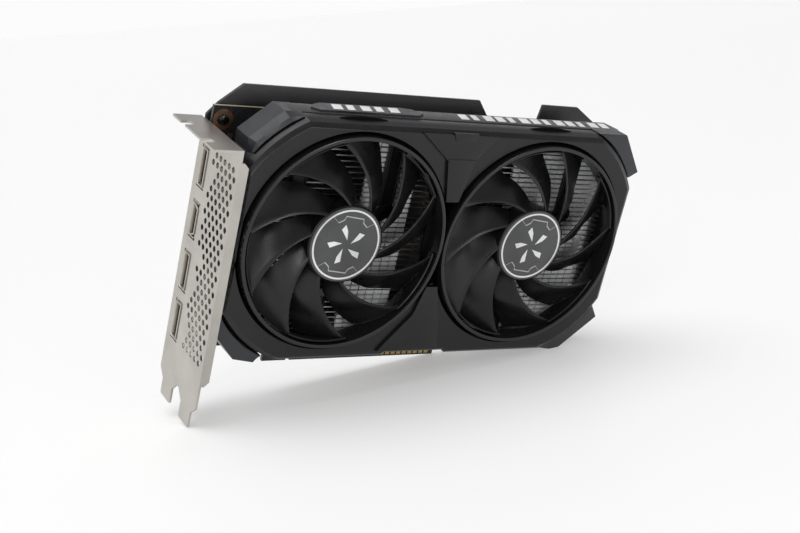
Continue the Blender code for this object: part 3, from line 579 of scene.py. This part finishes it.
def make_guards():
    top = SHROUD_HIGH.z + 0.3
    right = box_mm("corner_guard_top_right")[1].x
    guard("corner_guard_top_left", [(7.0, 116.7), (7.0, 121.8), (20.0, top), (27.4, top)], 0, 142.0, 117.6,
          11.0)
    guard("corner_guard_top_right", [(171.4, top), (187.0, top), (right, 116.4), (195.0, 114.0)],
          1, 62.4, 33.4, 5.2)
    guard("corner_guard_bottom_left", [(26.5, 30.4), (24.5, 27.8), (15.2, 29.6), (7.0, 38.9), (6.1, 49.0)],
          0, 243.5, 216.0, 5.4)
    guard("corner_guard_bottom_right", [(194.2, 50.6), (right - 0.6, 44.5), (179.4, 27.8), (168.0, 29.6)],
          1, 326.5, 295.0, 4.8)


# ---------------------------------------------------------------- fans
def smoothstep(value):
    t = max(0.0, min(1.0, value))
    return t * t * (3.0 - 2.0 * t)


def blade_point(fan, tip, share, across):
    """A point on a blade: share runs from hub to tip, across from the front edge to the back one."""
    root = HUB_R - 1.4
    radius = root + (TIP_R - root) * share
    front = tip - BLADE_SWEEP * (1.0 - share ** 0.72)
    chord = BLADE_CHORD * (0.86 + 0.14 * share)
    angle = radians(front - chord * across)
    deep = 7.2 + 2.4 * smoothstep((radius - 27.5) / 8.0)
    depth = 0.75 + (deep - 0.75) * across ** 0.88
    return Vector((FAN_X[fan] + radius * cos(angle), depth, FAN_Z + radius * sin(angle)))


def blade(fan, tip, along=22, around=9):
    """A closed blade: two skins about the mean surface, rounded at the front edge and thin at the back."""
    rows = []
    for i in range(along + 1):
        share = i / along
        front_side, back_side = [], []
        for j in range(around + 1):
            across = (j / around) ** 1.35
            here = blade_point(fan, tip, share, across)
            step = 0.02
            chordwise = blade_point(fan, tip, share, min(1.0, across + step)) \
                - blade_point(fan, tip, share, max(0.0, across - step))
            spanwise = blade_point(fan, tip, min(1.0, share + step), across) \
                - blade_point(fan, tip, max(0.0, share - step), across)
            normal = chordwise.cross(spanwise).normalized()
            if normal.y > 0:
                normal = -normal
            thick = BLADE_T / 2 * min(1.0, 0.30 + sqrt(across) * 3.4) * (1.0 - 0.35 * across)
            front_side.append(here + normal * thick)
            back_side.append(here - normal * thick)
        rows.append([*front_side, *reversed(back_side)])
    return rings_mesh("blade", [[tuple(p) for p in row] for row in rows])


def tip_band(fan, low, high, steps=16):
    """The thin curved band that links the tips of a blade pair."""
    rings = []
    for i in range(steps + 1):
        angle = radians(low - 2.0 + (high - low + 2.4) * i / steps)
        rise = 0.5 * sin(pi * i / steps)
        section = [(TIP_R - 0.75, 0.5), (TIP_R - 0.5, 0.25), (TIP_R - 0.2, 0.25), (TIP_R, 0.5),
                   (TIP_R, 3.0 + rise), (TIP_R - 0.75, 3.4 + rise)]
        rings.append([(FAN_X[fan] + r * cos(angle), y, FAN_Z + r * sin(angle)) for r, y in section])
    return rings_mesh("band", rings)


def make_fan(fan, side):
    body = f"fan_{side}"
    centre = (FAN_X[fan], FAN_Z)
    parts = [turned("hub", [
        (15.7, 9.0), (15.7, 2.0), (16.25, 1.1), (16.55, 0.55), (16.8, 0.75), (HUB_R, 1.1), (HUB_R, 9.0)],
        centre, 96)]
    hub_face = [(0.01, 2.2), (16.2, 2.2), (16.2, 1.25), (0.01, 1.25)]
    parts.append(turned("hub_face", hub_face, centre, 64, False))
    for k in range(5):
        middle = PAIR_CENTRE[fan] + PAIR_PITCH * k
        low, high = middle - PAIR_SPREAD / 2, middle + PAIR_SPREAD / 2
        parts += [blade(fan, low), blade(fan, high), tip_band(fan, low, high)]
    rotor = piece(f"fan_rotor_{side}", joined(f"fan_rotor_{side}", parts), "blade", body, 40.0)
    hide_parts(f"rotor_{side}")

    cap = piece(f"hub_plate_{side}", turned("hub_plate", [
        (0.01, 0.9), (16.1, 0.9), (16.25, 0.6), (16.1, 0.3), (15.8, 0.2), (0.01, 0.2)], centre, 96, False),
        "emblem", body)
    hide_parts(f"hub_cap_{side}")

    ring = turned("hub_ring", [(14.4, 0.22), (14.45, 0.05), (15.15, 0.05), (15.2, 0.22)], centre, 96)
    marks = [ring]
    for k in range(5):
        turn = 90.0 + 72.0 * k
        petal = [(2.2, turn), (4.6, turn + 20.0), (7.4, turn + 27.0), (8.8, turn + 12.0), (6.0, turn + 4.0)]
        loop = [(centre[0] + r * cos(radians(a)), centre[1] + r * sin(radians(a))) for r, a in petal]
        marks.append(flat("petal", [loop], (0.04, 0.22), 0.03))
    mark = piece(f"hub_mark_{side}", joined(f"hub_mark_{side}", marks), "print", body)

    lines = []
    for flip in (0.0, 180.0):
        spine = [(14.4, -42.0), (11.0, -38.0), (11.2, -24.0), (12.6, -19.0), (11.9, 0.0), (12.6, 19.0),
                 (11.2, 24.0), (11.0, 38.0), (14.4, 42.0)]
        width = 0.2
        loop = [(r + width, a) for r, a in spine] + [(r - width, a) for r, a in reversed(spine)]
        loop = [(centre[0] + r * cos(radians(a + 82.0 + flip)), centre[1] + r * sin(radians(a + 82.0 + flip)))
                for r, a in loop]
        lines.append(flat("line", [loop], (0.06, 0.22), 0.02))
    trim = piece(f"hub_lines_{side}", joined(f"hub_lines_{side}", lines), "line", body)


# ---------------------------------------------------------------- top edge
def slanted(start, end, y, pitch, share, lean=1.6):
    """Generic slanted bars along the top edge."""
    loops = []
    count = int((end - start) / pitch)
    for i in range(count):
        x = start + i * pitch
        width = pitch * (share[i % len(share)])
        loops.append([(x, y[0]), (x + width, y[0]), (x + width + lean, y[1]), (x + lean, y[1])])
    return loops


def make_top():
    """The lighter strip along the top edge, with generic bars printed on it and on the badge."""
    top = SHROUD_HIGH.z
    outline = [(21.0, 13.2), (24.0, 12.0), (184.0, 12.0), (188.0, 13.4), (187.0, 21.9), (22.0, 21.9)]
    strip = piece("top_strip", flat("top_strip", [outline], (top - 0.3, top + 0.25), 0.12, "Z"), "strip")
    bars = [flat("bar", [loop], (top + 0.2, top + 0.42), 0.05, "Z")
            for loop in slanted(104.0, 186.0, (14.0, 20.4), 6.3, (0.62, 0.44, 0.70))]
    badge_top = BADGE_HIGH.z
    bars += [flat("bar", [loop], (badge_top - 0.05, badge_top + 0.15), 0.05, "Z")
             for loop in slanted(43.0, 76.0, (14.2, 20.2), 6.6, (0.66, 0.50))]
    prints = piece("top_bars", joined("top_bars", bars), "print")


# ---------------------------------------------------------------- cooler and board details
def make_fin_tabs():
    """Folded tabs that lock the fins together: upright rows of little bright faces, paler than the fins and
    drawn only in the columns where the fins catch the light, as painted highlight.
    """
    pitch = 2.2
    column = 4.0
    # columns only where the fins are lit; the pale tabs there are painted highlight
    for side, first, last in (("left", 64.0, 91.0), ("right", 136.5, 185.0)):
        low, high = FINS[side]
        parts = []
        for i in range(int((last - first) / column)):
            x = first + i * column
            for j in range(int((high.z - low.z) / pitch)):
                z = low.z + 0.5 + j * pitch
                if min((Vector((x, z)) - Vector((fan_x, FAN_Z))).length for fan_x in FAN_X) < TAB_REACH:
                    depth = (low.y - 0.25, low.y + 1.4)
                    parts.append(block("tab", (x, x + column - 0.5), depth, (z, z + 1.5)))
        made = piece(f"fin_tabs_{side}", joined(f"fin_tabs_{side}", parts), "tabs")


def socket_ring(y, z, half, radius, taper):
    """A rounded mouth outline in (y, z); taper cuts in the front corners of the wide socket."""
    corners = [(y + half[0], z + half[1], 0.0), (y - half[0], z + half[1], 90.0),
               (y - half[0], z - half[1], 180.0), (y + half[0], z - half[1], 270.0)]
    points = []
    for cy, cz, start in corners:
        away = Vector((cy - y, cz - z))
        inset = taper if away.x < 0 else 0.0
        middle = (cy - radius * (1 if away.x > 0 else -1), cz - (radius + inset) * (1 if away.y > 0 else -1))
        points += arc(middle, radius, start, start + 90.0, 5)
    return points


def make_sockets():
    """Bright rounded shells in the display sockets, with a dark tongue and a row of contacts in each."""
    for node in ("displayport_1", "displayport_2", "displayport_3", "hdmi_port"):
        low, high = box_mm(node)
        y, z = (low.y + high.y) / 2, (low.z + high.z) / 2
        taper = 1.3 if node == "hdmi_port" else 0.0
        half = (high.y - low.y) / 2 - 0.75, (high.z - low.z) / 2 - 0.75
        rings = []
        for x, grow in ((2.4, 0.0), (-0.15, 0.0), (-0.45, 0.18), (-0.5, 0.4), (-0.35, 0.62), (0.15, 0.68),
                        (0.15, 0.3), (2.4, 0.25)):
            size = (half[0] + grow - 0.35, half[1] + grow - 0.35)
            rings.append([(x, py, pz) for py, pz in socket_ring(y, z, size, 0.7, taper)])
        made = piece(f"{node}_liner", rings_mesh(f"{node}_liner", rings, closed_rings=True), "socket")
        tongue = block("tongue", (2.2, 9.0), (y - 0.5, y + 0.5), (z - half[1] + 2.0, z + half[1] - 2.0))
        sleeve = []
        for x, inset in ((1.1, 0.3), (1.1, 0.6), (5.0, 0.6), (5.0, 0.3)):
            outline = socket_ring(y, z, (half[0] - inset, half[1] - inset), 0.6, taper)
            sleeve.append([(x, py, pz) for py, pz in outline])
        well = block("well", (5.0, 5.4), (y - half[0] + 0.5, y + half[0] - 0.5),
                     (z - half[1] + 0.5, z + half[1] - 0.5))
        insert = [tongue, well, rings_mesh("sleeve", sleeve, closed_rings=True)]
        made = piece(f"{node}_insert", joined("insert", insert), "deep")
        count = 9
        pitch = (2 * half[1] - 5.0) / count
        strips = [block("strip", (2.4, 8.0), (y - 0.62, y - 0.5), (z - half[1] + 2.7 + i * pitch,
                                                                 z - half[1] + 3.1 + i * pitch))
                  for i in range(count)]
        made = piece(f"{node}_strips", joined(f"{node}_strips", strips), "gold")


def make_board_screw():
    """Cross-head screw in the board's corner, in its copper ring."""
    low, high = box_mm("board_screw")
    centre = ((low.x + high.x) / 2, (low.z + high.z) / 2)
    radius = SCREW_HEAD_R
    front = low.y
    seat = PCB_LOW.y - 0.3
    profile = [(0.01, seat), (radius - 0.2, seat), (radius, seat - 0.3), (radius - 0.1, front + 0.6),
               (radius - 0.8, front + 0.15), (0.01, front)]
    head = turned("head", profile, centre, 40, False)
    made = piece("board_screw_head", head, "dark_metal")
    for across in ((1.4, 0.3), (0.3, 1.4)):
        tool = bpy.data.objects.new("slot_cutter", block(
            "slot_cutter", (centre[0] - across[0], centre[0] + across[0]), (front - 1.0, front + 0.9),
            (centre[1] - across[1], centre[1] + across[1])))
        bpy.context.scene.collection.objects.link(tool)
        step = made.modifiers.new("cross", "BOOLEAN")
        step.operation = "DIFFERENCE"
        step.solver = "EXACT"
        step.object = tool
        bpy.context.view_layer.update()
        cut = bpy.data.meshes.new_from_object(made.evaluated_get(bpy.context.evaluated_depsgraph_get()))
        made.modifiers.clear()
        made.data = cut
        bpy.data.objects.remove(tool)
    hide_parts("board_screw")
    pads = []
    for inner, outer, place in ((0.3, 4.3, centre), (0.05, 1.3, (centre[0] + 4.1, centre[1] - 6.6))):
        profile = [(inner, seat + 0.3), (inner, seat + 0.1), (outer, seat + 0.1), (outer, seat + 0.3)]
        pads.append(turned("pad", profile, place, 40))
    ring = piece("board_pads", joined("board_pads", pads), "pad")


def make_backplate():
    """Rear cover with softened edges and shallow pressed bands."""
    wing = BACK_HIGH.z
    low = BACK_LOW
    high = BACK_HIGH
    outline = [
        (low.x + 0.3, 26.0), (4.2, low.z + 0.3), (190.0, low.z + 0.3), (high.x - 0.3, 31.0),
        (high.x - 0.3, 125.0), (194.3, 128.3), (183.8, wing - 0.3), (164.1, wing - 0.3), (162.9, 126.3),
        (135.8, 126.3), (129.0, wing - 0.3), (15.4, wing - 0.3), (5.9, 126.3), (low.x + 0.3, 121.3),
    ]
    window = [(171.3, 52.3), (188.7, 52.3), (188.7, 111.7), (171.3, 111.7)]
    depth = (39.0, 40.6)
    plate = flat("backplate_shell", [outline, window], depth, 0.3)
    bands = [plate]
    for x in (18.0, 26.0, 34.0):
        loop = [(x, 30.0), (x + 3.2, 30.0), (x + 45.2, 118.0), (x + 42.0, 118.0)]
        bands.append(flat("band", [loop], (depth[1] - 0.3, depth[1] + 0.35), 0.15))
    made = piece("backplate_shell", joined("backplate_shell", bands), "backplate")
    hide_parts("backplate")


# ---------------------------------------------------------------- stage, lights and camera
def stage_material():
    """Matt white table, lit from beneath as well, that shows from above only."""
    made, tree, shader = nodes_of("studio_floor")
    shader.inputs["Base Color"].default_value = (0.60, 0.60, 0.597, 1.0)
    shader.inputs["Emission Color"].default_value = (1.0, 1.0, 0.995, 1.0)
    shader.inputs["Emission Strength"].default_value = 0.34
    shader.inputs["Roughness"].default_value = 0.55
    shader.inputs["Specular IOR Level"].default_value = 0.25
    clear = tree.nodes.new("ShaderNodeBsdfTransparent")
    side = tree.nodes.new("ShaderNodeNewGeometry")
    mix = tree.nodes.new("ShaderNodeMixShader")
    out = tree.nodes["Material Output"]
    tree.links.new(side.outputs["Backfacing"], mix.inputs["Fac"])
    tree.links.new(shader.outputs["BSDF"], mix.inputs[1])
    tree.links.new(clear.outputs["BSDF"], mix.inputs[2])
    tree.links.new(mix.outputs["Shader"], out.inputs["Surface"])
    return made


def make_stage():
    """The card rests on a tab's tip, the edge connector's far corner and the lower right guard."""
    tab_tip = Vector((0.0, 4.7, 0.0))
    connector = Vector((133.0, PCB_HIGH.y, PCB_LOW.z))
    guard_tip = Vector((179.4, 11.0, 27.6))
    normal = (connector - tab_tip).cross(guard_tip - tab_tip).normalized()
    if normal.z < 0:
        normal = -normal
    size = 9.0
    data = bpy.data.meshes.new("floor")
    corners = [(-size, -size, 0), (size, -size, 0), (size, size, 0), (-size, size, 0)]
    data.from_pydata(corners, [], [(0, 1, 2, 3)])
    data.materials.append(stage_material())
    floor = bpy.data.objects.new("floor", data)
    bpy.context.scene.collection.objects.link(floor)
    floor.rotation_mode = "QUATERNION"
    floor.rotation_quaternion = Vector((0.0, 0.0, 1.0)).rotation_difference(normal)
    floor.location = at(tab_tip) - normal * 0.0003
    return normal


def aim(obj, target):
    direction = Vector(target) - obj.location
    obj.rotation_euler = direction.to_track_quat("-Z", "Y").to_euler()


def area_light(name, place, target, size, power, colour=(1.0, 1.0, 1.0)):
    data = bpy.data.lights.new(name, "AREA")
    data.shape = "RECTANGLE"
    data.size, data.size_y = size
    data.energy = power
    data.color = colour
    obj = bpy.data.objects.new(name, data)
    bpy.context.scene.collection.objects.link(obj)
    obj.location = place
    aim(obj, target)
    return obj


def make_lights(up):
    """A white surround that darkens overhead, a broad soft sun and a softbox at the left."""
    world = bpy.data.worlds.new("studio")
    world.use_nodes = True
    tree = world.node_tree
    back = tree.nodes["Background"]
    where = tree.nodes.new("ShaderNodeTexCoord")
    split = tree.nodes.new("ShaderNodeSeparateXYZ")
    tone = tree.nodes.new("ShaderNodeValToRGB")
    tone.color_ramp.elements[0].position = 0.10
    tone.color_ramp.elements[1].position = 0.42
    tone.color_ramp.elements[0].color = (1.0, 1.0, 1.0, 1.0)
    tone.color_ramp.elements[1].color = (0.38, 0.38, 0.385, 1.0)
    tree.links.new(where.outputs["Generated"], split.inputs["Vector"])
    tree.links.new(split.outputs["Z"], tone.inputs["Fac"])
    tree.links.new(tone.outputs["Color"], back.inputs["Color"])
    back.inputs["Strength"].default_value = 0.97
    bpy.context.scene.world = world
    sun = bpy.data.lights.new("soft_sun", "SUN")
    sun.energy = 1.65
    sun.angle = radians(58.0)
    holder = bpy.data.objects.new("soft_sun", sun)
    bpy.context.scene.collection.objects.link(holder)
    holder.location = Vector((-0.25, 0.1, 0.0)) + up
    aim(holder, (0.0, 0.0, 0.0))
    area_light("softbox_left", (-1.1, -0.8, 0.75), (0.0, 0.0, 0.07), (0.35, 0.9), 5.0)
    area_light("softbox_front", (0.25, -1.5, 0.75), (0.0, 0.0, 0.07), (0.5, 0.35), 3.5)


def make_camera():
    data = bpy.data.cameras.new("camera")
    data.lens = CAMERA_LENS
    data.sensor_width = 36.0
    data.clip_start = 0.01
    data.clip_end = 50.0
    obj = bpy.data.objects.new("camera", data)
    bpy.context.scene.collection.objects.link(obj)
    obj.location = at(CAMERA_AT)
    tilt = Matrix.Rotation(radians(90.0 - CAMERA_ELEVATION), 3, "X")
    turn = Matrix.Rotation(radians(CAMERA_AZIMUTH), 3, "Z")
    roll = Matrix.Rotation(radians(CAMERA_ROLL), 3, "Z")
    obj.rotation_euler = (turn @ tilt @ roll).to_euler()
    bpy.context.scene.camera = obj


make_shroud_body()
make_lips()
make_wedges()
make_arms()
make_guards()
for index, name in enumerate(("left", "right")):
    make_fan(index, name)
make_top()
make_fin_tabs()
make_sockets()
make_board_screw()
make_backplate()
make_lights(make_stage())
make_camera()
bpy.context.scene.view_settings.view_transform = "Standard"
